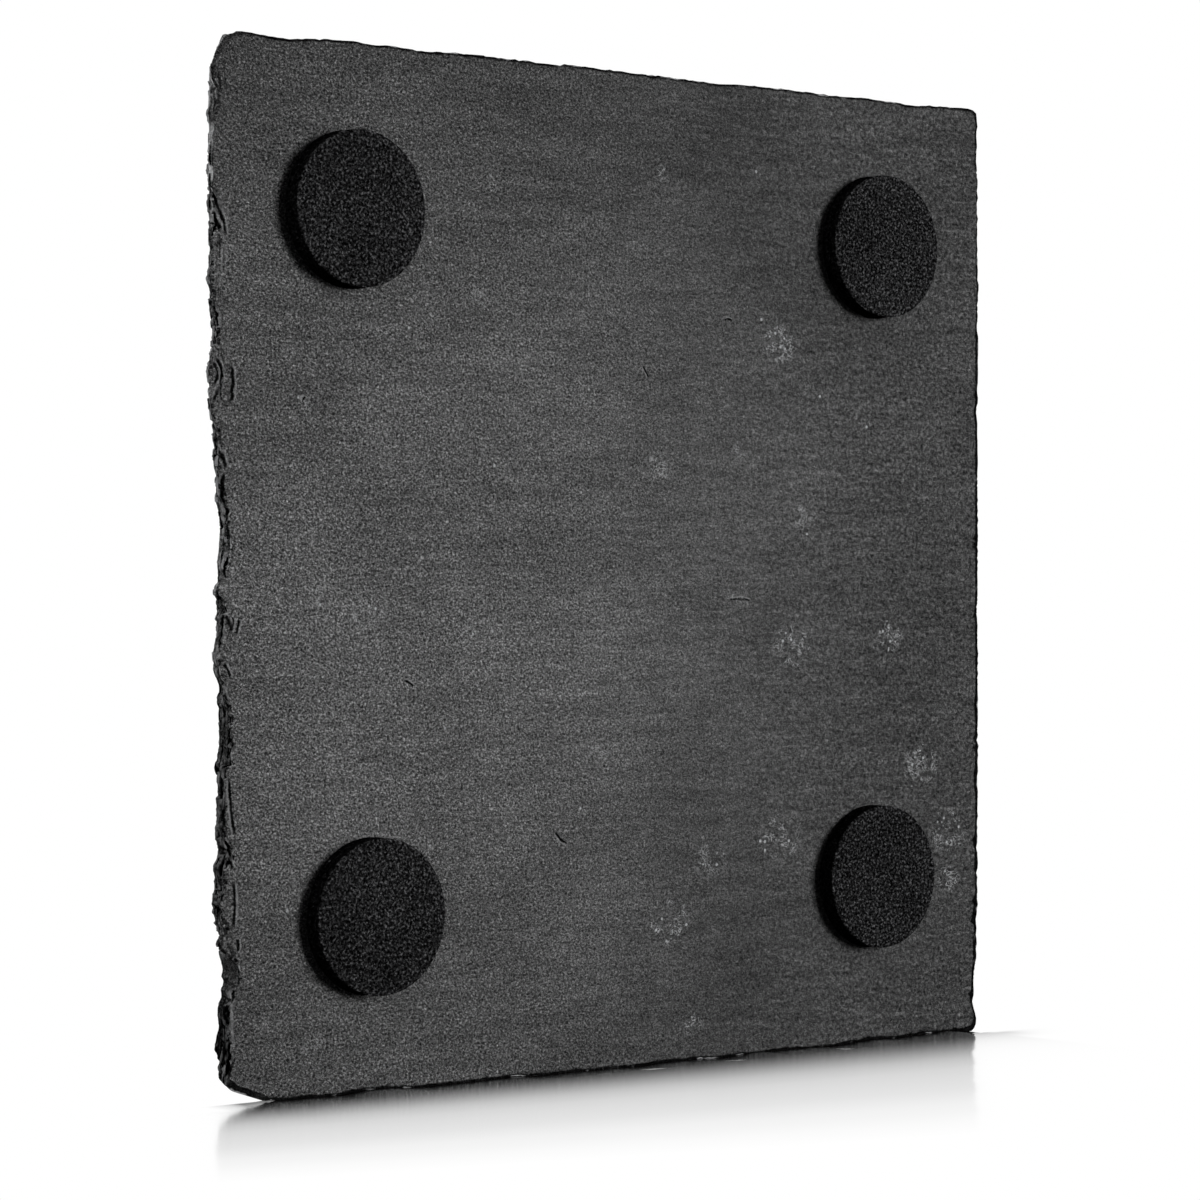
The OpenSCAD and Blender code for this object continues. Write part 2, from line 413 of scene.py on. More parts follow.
# ---- slate tile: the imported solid's rim, split into thin layers that each broke by themselves
slateShape = {
    "sideStations": [620, 190, 180, 200],  # points along each side's rim: right, back, left, front
    "layers": [0, 0.07, 0.18, 0.28, 0.38, 0.48, 0.55, 0.62, 0.71, 0.80, 0.90, 1],
    "layerRows": 4,  # points up the edge of each layer
    "wander": 0.00010, "wanderRun": 150.0,  # of the layers' heights along the rim
    "easing": 1.4,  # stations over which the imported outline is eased
    "stepRun": 95.0, "stepLow": 0.35,  # how far the layers step, from a clean slope to ledges
    "calm": 0.35,  # share of the raggedness on all sides but the right one
    "proud": (0.00012, 0.00027),  # how far the +X and -X sides stand out again
    "sideFrom": 0.0455, "sideBy": 0.0480,  # where along x those sides' own breakage starts and is full
    "rowLeast": 4e-6,  # between the rows of a layer that flakes thinned
    "freshFrom": 0.03,  # from where along y the first three rows are fresh, not one
    "freshDepth": 0.000125,  # of a bevel that counts as 1
    "ragged": [(230.0, 0.00012), (760.0, 0.00008), (2300.0, 0.00005)],
    "chips": [(0.0026, 0.00034, 0.45), (0.0011, 0.00020, 0.5), (0.00055, 0.00010, 0.6)],
    "crumbRun": 3000.0, "crumbDepth": 0.00004, "cutLean": 0.6,
    "standReaches": [(1, 0.8), (3, 0.5)], "standUnit": 0.000053,
    "faceStep": 0.00125,  # spacing of the points on the two faces
    "fineStep": 0.00018,  # the same where a mark is cut or a flake came off
    "edgeLoops": [0.00010, 0.00026, 0.0006],  # loops of points inside each face's outline
    "edgeRound": 0.00004,
    "flakeWidth": 0.00012,  # of the step down into a flake's scar
    "flakeRipple": 0.00007, "flakeRippleRun": 2100.0,
    "undersideRelief": 0.00005,
    "topRelief": 0.00016, "topStep": 0.00009,
}
# shells struck off the underside at the rim: place, reach, depth, ripples
shellMarks = [
    ((0.0512, 0.0178), 0.0034, 0.00020, 4.0),
    ((0.0508, 0.0327), 0.0022, 0.00016, 2.0),
    ((0.0500, -0.0052), 0.0024, 0.00012, 3.0),
    ((0.0498, -0.0350), 0.0026, 0.00014, 2.5),
    ((0.0420, 0.0503), 0.0014, 0.00012, 2.0),
    ((-0.0330, 0.0500), 0.0018, 0.00012, 2.0),
    ((-0.0305, -0.0499), 0.0013, 0.00015, 2.0),
    ((-0.0195, -0.0500), 0.0009, 0.00012, 1.0),
]
# scored lines on the underside: from, to, width, depth
lineMarks = [
    ((0.0502, 0.0345), (0.0490, 0.0300), 0.00022, 0.00010),
    ((0.0497, 0.0352), (0.0484, 0.0313), 0.00018, 0.00008),
    ((0.0476, -0.0036), (0.0483, -0.0060), 0.00026, 0.00010),
    ((0.0484, -0.0034), (0.0491, -0.0056), 0.00024, 0.00009),
    ((0.0491, -0.0033), (0.0496, -0.0050), 0.00020, 0.00008),
    ((0.0497, 0.0117), (0.0486, 0.0060), 0.00024, 0.00010),
    ((0.0478, -0.0338), (0.0477, -0.0362), 0.00030, 0.00017),
    ((0.0388, 0.0168), (0.0391, 0.0150), 0.00018, 0.00008),
]
# where a side was dressed further in, or stands out: middle, half length, depth, along +X and along -X
bites = [
    (0.0456, 0.0012, -0.00024), (0.0434, 0.0016, 0.0002), (0.0375, 0.0036, -0.00036),
    (0.0290, 0.0028, -0.00025), (0.0175, 0.0036, -0.00022), (0.0034, 0.0036, 0.00042),
    (-0.0022, 0.0009, -0.0004), (-0.0041, 0.0007, 0.0003), (-0.0085, 0.0028, -0.00034),
    (-0.0124, 0.0008, -0.00025), (-0.0267, 0.0012, 0.0004), (-0.0309, 0.0010, -0.0003),
    (-0.0337, 0.0007, 0.00035), (-0.0356, 0.0014, -0.00065), (-0.0382, 0.0015, 0.00050),
    (-0.0414, 0.0014, -0.00035), (-0.0475, 0.0010, -0.00025),
]
farBites = [
    (0.0462, 0.0045, 0.00024), (0.0398, 0.0045, 0.00011), (0.0226, 0.0030, -0.00034),
    (0.0174, 0.0006, 0.00021), (0.0106, 0.0045, -0.00039), (0.0086, 0.0006, 0.00022),
    (0.0070, 0.0009, -0.00021), (0.0018, 0.0045, -0.00029), (-0.0110, 0.0014, -0.00017),
    (-0.0142, 0.0020, 0.00022), (-0.0222, 0.0020, 0.00024), (-0.0282, 0.0020, -0.00013),
    (-0.0298, 0.0006, 0.00030), (-0.0386, 0.0045, 0.00021), (-0.0446, 0.0014, -0.00015),
    (-0.0468, 0.0012, 0.00025),
]
cornerCuts = [((0.04489, -0.04945), (0.04781, -0.04848)), ((0.04781, -0.04848), (0.04903, -0.04746)),
              ((0.04903, -0.04746), (0.04926, -0.04550))]  # struck off the corner: from, to
# cracks and steps too fine for the mesh, each painted as a shaded line with a painted highlight beside it:
# start, end, bend, half width
strokes = [
    ((0.0498, 0.0384), (0.0498, 0.0342), -0.00002, 0.00013),
    ((0.0499, 0.0347), (0.0484, 0.0305), -0.00030, 0.00017),
    ((0.0501, 0.0337), (0.0489, 0.0309), -0.00011, 0.00017),
    ((0.0498, 0.0190), (0.0497, 0.0166), -0.00058, 0.00017),
    ((0.0494, 0.0193), (0.0490, 0.0169), -0.00052, 0.00017),
    ((0.0479, 0.0189), (0.0478, 0.0150), -0.00033, 0.00017),
    ((0.0488, 0.0167), (0.0495, 0.0153), 0.00002, 0.00017),
    ((0.0495, 0.0112), (0.0484, 0.0089), -0.00030, 0.00017),
    ((0.0484, 0.0089), (0.0483, 0.0055), 0.00032, 0.00017),
    ((0.0490, -0.0040), (0.0479, -0.0057), -0.00031, 0.00017),
    ((0.0469, -0.0048), (0.0473, -0.0063), -0.00008, 0.00017),
    ((0.0476, -0.0046), (0.0479, -0.0060), -0.00012, 0.00017),
    ((0.0486, -0.0090), (0.0479, -0.0103), -0.00012, 0.00017),
    ((0.0488, -0.0110), (0.0483, -0.0124), -0.00007, 0.00017),
    ((0.0487, -0.0180), (0.0484, -0.0245), 0.00006, 0.00017),
    ((0.0480, -0.0193), (0.0473, -0.0251), 0.00015, 0.00017),
    ((0.0487, -0.0262), (0.0476, -0.0281), -0.00019, 0.00017),
    ((0.0471, -0.0344), (0.0470, -0.0357), -0.00003, 0.00017),
    ((0.0476, -0.0290), (0.0476, -0.0336), -0.00022, 0.00017),
    ((0.0480, -0.0387), (0.0479, -0.0442), -0.00006, 0.00017),
    ((0.0092, -0.0259), (0.0076, -0.0272), 0.00015, 0.00014),
    ((-0.0137, -0.0031), (-0.0168, -0.0032), -0.00020, 0.00012),
    ((-0.0023, 0.0205), (-0.0030, 0.0193), 0.00006, 0.00010),
    ((0.0278, -0.0108), (0.0267, -0.0114), -0.00011, 0.00012),
    ((0.0395, 0.0153), (0.0392, 0.0160), -0.00027, 0.00012),
    ((-0.0131, 0.0255), (-0.0143, 0.0255), -0.00020, 0.00010),
]
# stretches of the underside's right edge that were struck off as a bevel: middle, half length, width, depth
bevels = [(0.0378, 0.0034, 0.00022, 0.00022), (0.0232, 0.0012, 0.0003, 0.0002),
          (-0.0062, 0.0022, 0.0005, 0.0003), (-0.0172, 0.0007, 0.0004, 0.0003),
          (-0.0430, 0.0032, 0.00035, 0.00022)]


def rimProfile(node):
    mesh = node.data
    places = [(side, 2 * i / count - 1) for side, count in enumerate(slateShape["sideStations"])
              for i in range(count)]
    points = [v.co.copy() for v in mesh.vertices]
    tree = BVHTree.FromPolygons(points, [tuple(p.vertices) for p in mesh.polygons])
    levels = sorted({round(p.z, 6) for p in points})
    nudge, away = 1e-6, 0.12
    profile = np.zeros((len(levels), len(places), 2))
    for i, (side, along) in enumerate(places):  # once round a square of half side 1
        x, y = [(1, along), (-along, 1), (-1, -along), (along, -1)][side]
        ray = Vector((x, y, 0)).normalized()
        for k, z in enumerate(levels):
            z += nudge if k == 0 else -nudge if k == len(levels) - 1 else 0
            for slip in (0, nudge, -nudge, 5 * nudge, -5 * nudge):
                hit = tree.ray_cast(ray * away + Vector((0, 0, z + slip)), -ray)[0]
                if hit is not None:
                    break
            profile[k, i] = hit.xy
    return np.array(levels), profile


def eased(values, width):  # a Gaussian round the closed rim
    reach = int(3 * width)
    weights = np.exp(-0.5 * (np.arange(-reach, reach + 1) / width) ** 2)
    turned = [w * np.roll(values, s, axis=1) for s, w in zip(range(-reach, reach + 1), weights)]
    return sum(turned) / weights.sum()


def atHeights(levels, profile, heights):
    upper = np.clip(np.searchsorted(levels, heights), 1, len(levels) - 1)
    share = (heights - levels[upper - 1]) / (levels[upper] - levels[upper - 1])
    station = np.arange(profile.shape[1])
    low, high = profile[upper - 1, station], profile[upper, station]
    return low + (high - low) * np.clip(share, 0, 1)[:, None]


def outward(loop):
    along = np.roll(loop, -3, axis=0) - np.roll(loop, 3, axis=0)
    out = np.column_stack([along[:, 1], -along[:, 0]])
    return out / np.linalg.norm(out, axis=1, keepdims=True)


def raggedDepth(layer, x, y):
    shape = slateShape
    depth = 0.0
    for turn, (run, amount) in enumerate(shape["ragged"]):
        depth += amount * noiseAt(x, y, run, 7.3 * layer + 31 * turn)
    for size, amount, chance in shape["chips"]:  # each chip is one flat facet with sharp ends
        cells = noise.voronoi(Vector((x / size, y / size, 1.9 * layer)))[1]
        here = cells[0]
        draw = 0.5 + 0.5 * noise.noise(here * 17.3)
        if draw < chance:
            slant = (x / size - here.x) * math.sin(9 * draw) + (y / size - here.y) * math.cos(9 * draw)
            depth += amount * (0.75 + 0.5 * slant)
    start, full = shape["sideFrom"], shape["sideBy"]
    rougher = max(smoothStep(start, full, x), 0.3 * smoothStep(start, full, -x))
    depth *= shape["calm"] + (1 - shape["calm"]) * rougher
    if abs(x) > start:
        for middle, half, cut in bites if x > 0 else farBites:
            depth += cut * smoothStep(half, 0.35 * half, abs(y - middle))
    return depth - shape["proud"][int(x < 0)] * smoothStep(start, full, abs(x))


def layerBounds(middleLine):  # the heights between the layers, each wandering by itself
    shape = slateShape
    shares, run = shape["layers"], shape["wanderRun"]
    thickness = tileHigh.z - tileLow.z
    bounds = np.zeros((len(shares), len(middleLine)))
    for b, share in enumerate(shares):
        room = 0 if share in (0, 1) else 1 if 0.1 < share < 0.9 else 0.5
        for i, (x, y) in enumerate(middleLine):
            wave = noiseAt(x, y, run, 5.7 * b)
            bounds[b, i] = tileLow.z + share * thickness + room * shape["wander"] * 1.6 * wave
    return bounds


def crumbs(rim):  # on all rows but the first and last
    rough = np.zeros(rim.shape[:2])
    for m in range(1, len(rim) - 1):
        for i, place in enumerate(rim[m]):
            p = Vector(place) * slateShape["crumbRun"]
            rough[m, i] = noise.noise(p) + 0.6 * noise.noise(p * 0.37)
    return slateShape["crumbDepth"] * rough


def standingOut(rim, normal):  # of the points near it, which the finish uses for painted highlight on arrises and painted shade in cracks
    stand = np.zeros(rim.shape[:2])
    for reach, weight in slateShape["standReaches"]:
        padded = np.concatenate([rim[:1]] * reach + [rim] + [rim[-1:]] * reach)
        mean = (np.roll(rim, reach, 1) + np.roll(rim, -reach, 1)
                + padded[:-2 * reach] + padded[2 * reach:]) / 4
        stand += weight * np.sum((rim - mean) * normal, axis=2)
    return stand / slateShape["standUnit"]


def cutCorner(rim):  # each cut leans in as it goes up
    for start, end in cornerCuts:
        out = Vector((end[1] - start[1], start[0] - end[0])).normalized()
        limit = out.dot(Vector(start)) - slateShape["cutLean"] * out.x * (rim[..., 2] - tileLow.z)
        over = np.maximum(rim[..., 0] * out.x + rim[..., 1] * out.y - limit, 0)
        rim[..., 0] -= out.x * over
        rim[..., 1] -= out.y * over


def layeredRim(levels, profile):
    shape = slateShape
    middleLine = profile.mean(axis=0)
    out, bounds = outward(middleLine), layerBounds(middleLine)
    least, run, rowsEach = shape["stepLow"], shape["stepRun"], shape["layerRows"]
    rows, heads = [], []
    for b, (low, high) in enumerate(zip(bounds, bounds[1:])):
        middle = atHeights(levels, profile, (low + high) / 2)
        depth = np.array([raggedDepth(b, x, y) for x, y in middle])
        waves = [noiseAt(x, y, run, 2.9 * b) for x, y in middle]
        stepping = np.array([least + (1 - least) * smoothStep(-0.35, 0.15, wave) for wave in waves])
        for k in range(rowsEach):
            z = low + (high - low) * (0.04 + 0.92 * (k / (rowsEach - 1)))
            if b == 0 and k == 0:
                z = low
            if b == len(bounds) - 2 and k == rowsEach - 1:
                z = high
            slope = atHeights(levels, profile, z)
            place = slope + (middle - slope) * stepping[:, None] - out * depth[:, None]
            row = np.column_stack([place, z])
            if rows and k == 0:  # the ledge between this layer and the last
                rows.append((rows[-1] + row) / 2)
                heads.append(len(rows) - 1)
            rows.append(row)
    rim = np.array(rows)
    around = np.roll(rim, -1, axis=1) - np.roll(rim, 1, axis=1)
    normal = np.cross(around, np.gradient(rim, axis=0))
    normal /= np.maximum(np.linalg.norm(normal, axis=2, keepdims=True), 1e-12)
    rim = rim - normal * crumbs(rim)[..., None]
    rim[..., 2] = np.clip(rim[..., 2], tileLow.z, tileHigh.z)
    stand = standingOut(rim, normal)
    rim = np.clip(rim, np.array(tileLow), np.array(tileHigh))
    cutCorner(rim)
    ledges = np.zeros(rim.shape[:2])
    ledges[heads] = 1
    return rim, stand, ledges


class Outline:  # how far a point lies inside a closed loop
    def __init__(self, loop):
        turn = np.arctan2(loop[:, 1], loop[:, 0])
        order = np.argsort(turn)
        self.turn, self.reach = turn[order], np.linalg.norm(loop, axis=1)[order]

    def inside(self, points):
        turn = np.arctan2(points[:, 1], points[:, 0])
        edge = np.interp(turn, self.turn, self.reach, period=2 * math.pi)
        slant = np.maximum(np.abs(np.cos(turn)), np.abs(np.sin(turn)))
        return (edge - np.linalg.norm(points, axis=1)) * slant


def staggered(lowX, highX, lowY, highY, step):
    made = []
    for row, y in enumerate(np.arange(lowY, highY, step * 0.87)):
        xs = np.arange(lowX + (step / 2 if row % 2 else 0), highX, step)
        made.append(np.column_stack([xs, np.full(len(xs), y)]))
    return np.concatenate(made)


class Flakes:  # scars where a face's thin bed has come away
    def __init__(self, rim, bed, depth):
        self.rim, self.bed, self.depth = Outline(rim), Outline(bed), depth

    def band(self, points):  # points near enough to a scar's step to need close spacing
        rim, bed = self.rim.inside(points), self.bed.inside(points)
        near = (np.abs(bed) < 0.0005) & (rim > 0.00014) & (rim - bed > 0.00012)
        return points[near | ((bed < 0) & (rim > 0.00014) & (rim < 0.0022))]

    def drops(self, points):
        shape = slateShape
        bed = self.bed.inside(points)
        made = np.zeros(len(points))
        for i, (x, y) in enumerate(points):
            ragged = 0.00025 * noiseAt(x, y, 1300, 3)
            step = smoothStep(0.0, shape["flakeWidth"], -bed[i] - 0.00006 + ragged)
            if step > 0:
                share = 0.55 + 0.35 * noiseAt(x, y, 260, 6)
                wave = math.sin(shape["flakeRippleRun"] * 2 * math.pi * 0.7 * (-bed[i])
                                + 3 * noiseAt(x, y, 300, 9))
                share += 0.20 * noiseAt(x, y, 900, 2)
                made[i] = step * (self.depth * share + shape["flakeRipple"] * wave)
        return np.clip(made, 0, self.depth)


def markBoxes():
    for (x, y), reach, _, _ in shellMarks:
        yield x - 1.25 * reach, x + 1.25 * reach, y - 1.25 * reach, y + 1.25 * reach
    for start, end, width, _ in lineMarks:
        xs, ys = sorted((start[0], end[0])), sorted((start[1], end[1]))
        yield xs[0] - 2 * width, xs[1] + 2 * width, ys[0] - 2 * width, ys[1] + 2 * width


def bevelBoxes():
    for middle, half, _, _ in bevels:
        yield 0.045, 0.0505, middle - half, middle + half


def facePoints(loop, flakes, boxes, strips):
    loops, wide, fine = slateShape["edgeLoops"], slateShape["faceStep"], slateShape["fineStep"]
    whole = (-0.051, 0.051, -0.051, 0.051)
    inside = flakes.rim.inside
    points = staggered(*whole, wide)
    sets = [points[inside(points) > loops[-1] + 0.3 * wide]]
    sets.append(flakes.band(staggered(*whole, 1.25 * fine)))
    for box in boxes:
        points = staggered(*box, fine)
        sets.append(points[inside(points) > 1.3 * loops[0]])
    for box in strips:  # only along the edge
        points = staggered(*box, fine)
        sets.append(points[(inside(points) > 1.3 * loops[0]) & (inside(points) < 0.0007)])
    ring = loop[::2]
    sets += [ring * (1 - distance / np.abs(ring).max(axis=1, keepdims=True)) for distance in loops]
    return np.concatenate(sets)


def filledFace(loop, inner):
    count = len(loop)
    flat = [Vector((float(x), float(y))) for x, y in np.concatenate([loop, inner])]
    edges = [(i, (i + 1) % count) for i in range(count)]
    _, _, faces, origins, _, _ = delaunay_2d_cdt(flat, edges, [tuple(range(count))], 1, 1e-9)
    number = [kept[0] if kept else None for kept in origins]
    faces = [[number[v] for v in f] for f in faces]
    return [f for f in faces if None not in f]


def numbered(faces, count, loopStart, innerStart):  # with the whole mesh's numbers for its points
    return [tuple(loopStart + v if v < count else innerStart + v - count for v in f) for f in faces]


def clearOfFeet(x, y):
    away = 1.0
    for low, high in discBoxes.values():
        middle, radius = (low + high) / 2, (high.x - low.x) / 2
        away = min(away, smoothStep(radius, radius + 0.0015, math.hypot(x - middle.x, y - middle.y)))
    return away


def markDepth(x, y):
    cut = 0.0
    for (px, py), reach, depth, ripples in shellMarks:
        away = math.hypot(x - px, y - py)
        if away > 1.3 * reach:
            continue
        turn = math.atan2(y - py, x - px)
        share = away / (reach * (1 + 0.22 * noise.noise(Vector((3 * turn, px * 900, 0)))))
        if share < 1:
            wave = 0.5 + 0.5 * math.cos(2 * math.pi * ripples * share ** 0.85)
            ledge = smoothStep(1.0, 0.93, share)
            cut = max(cut, depth * ledge * (0.35 + 0.35 * (1 - share) + 0.45 * wave * (1 - 0.4 * share)))
    for start, end, width, depth in lineMarks:
        a, b, p = Vector(start), Vector(end), Vector((x, y))
        along = max(0.0, min(1.0, (p - a).dot(b - a) / (b - a).length_squared))
        away = (p - a.lerp(b, along)).length + 0.4 * width * noiseAt(x, y, 900, 4)
        cut = max(cut, depth * smoothStep(width, 0.2 * width, away))
    return cut


def bevelShare(x, y, inside):  # 1 at the edge of a bevel's outer side, 0 where it ends
    most = 0.0
    if x > 0.04:
        for middle, half, width, depth in bevels:
            ragged = 1 + 0.35 * noise.noise(Vector((y * 1500, middle * 300, 2)))
            ends = smoothStep(half, 0.8 * half, abs(y - middle))
            most = max(most, ends * (1 - inside / (width * ragged)) * depth)
    return most


def swellAt(x, y, runX, runY, turn):  # from 0 to 1
    return 0.5 + 0.5 * noise.noise(Vector((x * runX, y * runY, turn)))


def undersideLift(x, y):
    ripple, grit = swellAt(x, y, 90, 420, 3.1), swellAt(x, y, 620, 620, 8.7)
    swell = swellAt(x, y, 45, 60, 5.5)
    lift = slateShape["undersideRelief"] * (0.5 * ripple + 0.25 * grit + 0.5 * swell)
    return lift * clearOfFeet(x, y) + markDepth(x, y)


def topDrop(x, y):
    swell, ripple = swellAt(x, y, 38, 55, 1.3), swellAt(x, y, 130, 380, 6.2)
    terrace = 3.2 * (0.5 + 0.5 * noise.fractal(Vector((x * 32, y * 48, 9.4)), 0.9, 2.1, 3))
    level = math.floor(terrace) + smoothStep(0.86, 1.0, terrace % 1)
    return (slateShape["topRelief"] * (0.6 * swell + 0.3 * ripple)
            + slateShape["topStep"] * max(0.0, level))


# patches of scratches and pale grains on the underside: place, reach, strength
wornPatches = [
    ((-0.0225, -0.0079), 0.0034, 1.0), ((-0.0057, -0.0357), 0.0036, 1.0), ((-0.0412, -0.0208), 0.0034, 0.9),
    ((-0.0209, -0.0277), 0.0036, 0.9), ((-0.0206, 0.0234), 0.0030, 1.0), ((-0.0363, -0.0070), 0.0028, 1.0),
    ((0.0321, -0.0040), 0.0030, 0.9), ((-0.0240, 0.0056), 0.0030, 0.6), ((-0.0452, -0.0280), 0.0034, 1.0),
    ((-0.0452, -0.0330), 0.0024, 0.9), ((-0.0113, -0.0296), 0.0034, 0.6), ((0.0184, 0.0268), 0.0020, 0.9),
    ((-0.0042, 0.0102), 0.0028, 0.7), ((-0.0017, 0.0325), 0.0030, 0.5), ((0.0172, 0.0377), 0.0020, 0.6),
    ((0.0202, -0.0065), 0.0018, 0.9), ((0.0035, -0.0181), 0.0018, 1.0), ((0.0383, -0.0451), 0.0024, 0.6),
    ((-0.0088, -0.0461), 0.0018, 0.9), ((0.0394, 0.0156), 0.0014, 0.9), ((-0.0148, -0.0026), 0.0022, 0.6),
    ((0.0379, -0.0027), 0.0018, 0.8), ((-0.0154, 0.0123), 0.0018, 0.7), ((-0.0047, 0.0399), 0.0014, 0.8),
    ((-0.0043, -0.0017), 0.0014, 0.7), ((-0.0440, -0.0150), 0.0040, 0.35),
    ((-0.0380, 0.0100), 0.0060, 0.25),
]


def wear(x, y):
    most = 0.0
    for (px, py), reach, strength in wornPatches:
        away = math.hypot((x - px) / 1.2, y - py) / reach
        most = max(most, strength * smoothStep(1.0, 0.25, away))
    return most


def makeSlate(material):
    shape = slateShape
    levels, profile = rimProfile(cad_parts["slate_tile"])
    print("slate: rim taken at", len(levels), "heights")
    profile = eased(profile, shape["easing"])
    # the thin bed of each face ends inside the rim where flakes came off: those steps go in the faces
    underBed, topBed = profile[1].copy(), profile[-2].copy()
    profile[0:2], profile[-2:] = profile[2], profile[-3]
    rim, stand, ledges = layeredRim(levels, profile)
    rows, stations = rim.shape[:2]
    print("slate: rim split into layers,", rows, "rows")

    lowLoop, highLoop = rim[0, :, :2], rim[-1, :, :2]
    underFlakes = Flakes(lowLoop, underBed, levels[1] - levels[0])
    topFlakes = Flakes(highLoop, topBed, levels[-1] - levels[-2])
    under = facePoints(lowLoop, underFlakes, markBoxes(), bevelBoxes())
    top = facePoints(highLoop, topFlakes, [], [])
    underInside, topInside = underFlakes.rim.inside(under), topFlakes.rim.inside(top)
    underFaces, topFaces = filledFace(lowLoop, under), filledFace(highLoop, top)

    # marks run on up the rim for a little way, and each face is rounded where it meets the break
    markRows = 2 * shape["layerRows"]
    for m in range(1, markRows):
        for i, (x, y, z) in enumerate(rim[m]):
            rim[m, i, 2] = z + markDepth(x, y) * (1 - m / markRows)
    rimBevel = np.array([bevelShare(x, y, 0) for x, y in lowLoop])
    lift = np.array([undersideLift(x, y) for x, y in lowLoop]) + rimBevel
    lift += underFlakes.drops(lowLoop)
    drop = np.array([topDrop(x, y) for x, y in highLoop]) + topFlakes.drops(highLoop)
    lowest, highest = tileLow.z + shape["edgeRound"] + lift, tileHigh.z - shape["edgeRound"] - drop
    for m in range(shape["layerRows"]):  # the first and last layers are as thick as the flakes left them
        rim[m, :, 2] = np.maximum(rim[m, :, 2], lowest + shape["rowLeast"] * m)
        rim[-1 - m, :, 2] = np.minimum(rim[-1 - m, :, 2], highest - shape["rowLeast"] * m)
    bevel = np.array([bevelShare(x, y, inside) for (x, y), inside in zip(under, underInside)])
    reach = shape["edgeLoops"][1]
    underSoft = shape["edgeRound"] * (1 - smooth(0, reach, underInside)) + underFlakes.drops(under) + bevel
    topSoft = shape["edgeRound"] * (1 - smooth(0, reach, topInside)) + topFlakes.drops(top)
    points = [tuple(p) for p in rim.reshape(-1, 3)]
    points += [(x, y, tileLow.z + undersideLift(x, y) + s) for (x, y), s in zip(under, underSoft)]
    points += [(x, y, tileHigh.z - topDrop(x, y) - s) for (x, y), s in zip(top, topSoft)]
    faces = [quad(m, i, stations) for m in range(rows - 1) for i in range(stations)]
    faces += numbered([f[::-1] for f in underFaces], stations, 0, rows * stations)
    faces += numbered(topFaces, stations, (rows - 1) * stations, rows * stations + len(under))
    slate = newPiece("slate", points, faces, material, 40)
    print("slate:", sum(len(f) - 2 for f in faces), "triangles")

    def store(name, onRim, onUnder=np.zeros(len(under)), onTop=np.zeros(len(top))):
        values = np.concatenate([np.asarray(part, float).reshape(-1) for part in (onRim, onUnder, onTop)])
        slate.data.attributes.new(name, "FLOAT", "POINT").data.foreach_set("value", values)

    row = np.arange(rows)
    store("rim", np.repeat(smooth(0, 3, np.minimum(row, rows - 1 - row)), stations))
    store("arris", stand)
    store("ledge", ledges)
    lip, width = (row <= shape["layerRows"]) | (row == rows - 1), shape["edgeLoops"][-1]
    wider = width * (1 + 0.3 * smooth(-0.045, -0.047, under[:, 0]))  # along the -X side
    store("edge", np.repeat(lip * 1.0, stations), 1 - smooth(0, wider, underInside),
          1 - smooth(0, width, topInside))
    store("worn", np.zeros((rows, stations)), [wear(x, y) for x, y in under])
    freshRows = np.where(lowLoop[:, 1] > shape["freshFrom"], 3, 1)
    onRim = np.where(row[:, None] < freshRows[None, :], rimBevel[None, :], 0)
    store("fresh", onRim / shape["freshDepth"], bevel / shape["freshDepth"])
    return slate


def lowestAlong(places):  # the lowest place in each short stretch of x
    cells = np.round(places[:, 0] / 0.0004).astype(int)
    return np.array([places[cells == c][np.argmin(places[cells == c, 1])] for c in np.unique(cells)])


# ---- slate finish
slateLook = {
    "colour": (0.0990, 0.0992, 0.0998),
    "grainRun": 4000.0, "grainPower": 3.4,
    "streakRun": (85, 760, 900), "streakShare": 0.9,
    "cloudRun": (38, 52, 40), "cloudShare": 0.8,
    "wrinkleRun": (460, 2300, 460), "wrinkleShare": 1.7,
    "lightPoolShare": 0.42,  # how much darker the sides are painted than the pool of light at the middle
    "bedRun": (110, 170, 2800),  # the beds that the rim shows are far longer than thick
    "jaggedRun": (900, 1300, 2600), "brokenRun": 420, "traceRun": (2300, 330, 1200),
    # the rim's painted light: the highlight colour of arrises, traces and glints, and the painted shade of
    # cracks, the rim and the edge line
    "arris": (0.380, 0.382, 0.388), "crackShade": 0.03, "rimShade": 0.72, "edgeLineShade": 0.93,
    # a fresh bevel's colour, painted paler near the top as if lit, and the run of its streaks and of the
    # painted glints
    "fresh": (0.52, 0.523, 0.53), "freshAndLitRun": (2600, 420, 2600), "glintRun": (230, 500, 500),
    # the strokes' painted shade and painted highlight, then how they wander
    "strokeShade": 0.95, "strokeHighlight": 0.35, "strokeRun": 1400.0, "strokeWander": 0.00025,
    "scratch": (0.32, 0.325, 0.33), "scratchRun": (900, 1100, 900), "scratchGapRun": 820,
    "speck": (0.42, 0.43, 0.44), "speckRun": 1500, "speckEdge": (0.14, 0.32),
    "roughness": 0.66, "gloss": 0.0,
    "bump": 0.00040,
}
# where a tone, painted shade or painted light fades in over the underside or along its edge: axis, from, to
slateFades = {
    "coarse": ("X", 0.010, -0.045), "strong": ("X", -0.045, 0.045), "flat": ("X", -0.040, 0.020),
    "dim": ("X", 0.005, 0.040), "lower": ("Y", 0.010, -0.030), "freshAndLit": ("Y", 0.028, 0.032),
    "litRimSide": ("X", 0.0455, 0.0480), "litRimFrom": ("Y", 0.037, 0.040),
    "mildFrom": ("Y", -0.0415, -0.0390), "mildTo": ("Y", -0.0320, -0.0345),
    "farSide": ("X", -0.0455, -0.0475), "farTo": ("Y", 0.032, 0.020),
    "nearSide": ("X", 0.043, 0.047), "nearTo": ("Y", 0.041, 0.038),
    "corner": ("X", 0.0430, 0.0460), "cornerTo": ("Y", -0.0445, -0.0465),
    "cornerRimTo": ("Y", -0.0420, -0.0445), "traced": ("X", 0.0476, 0.0488),
}


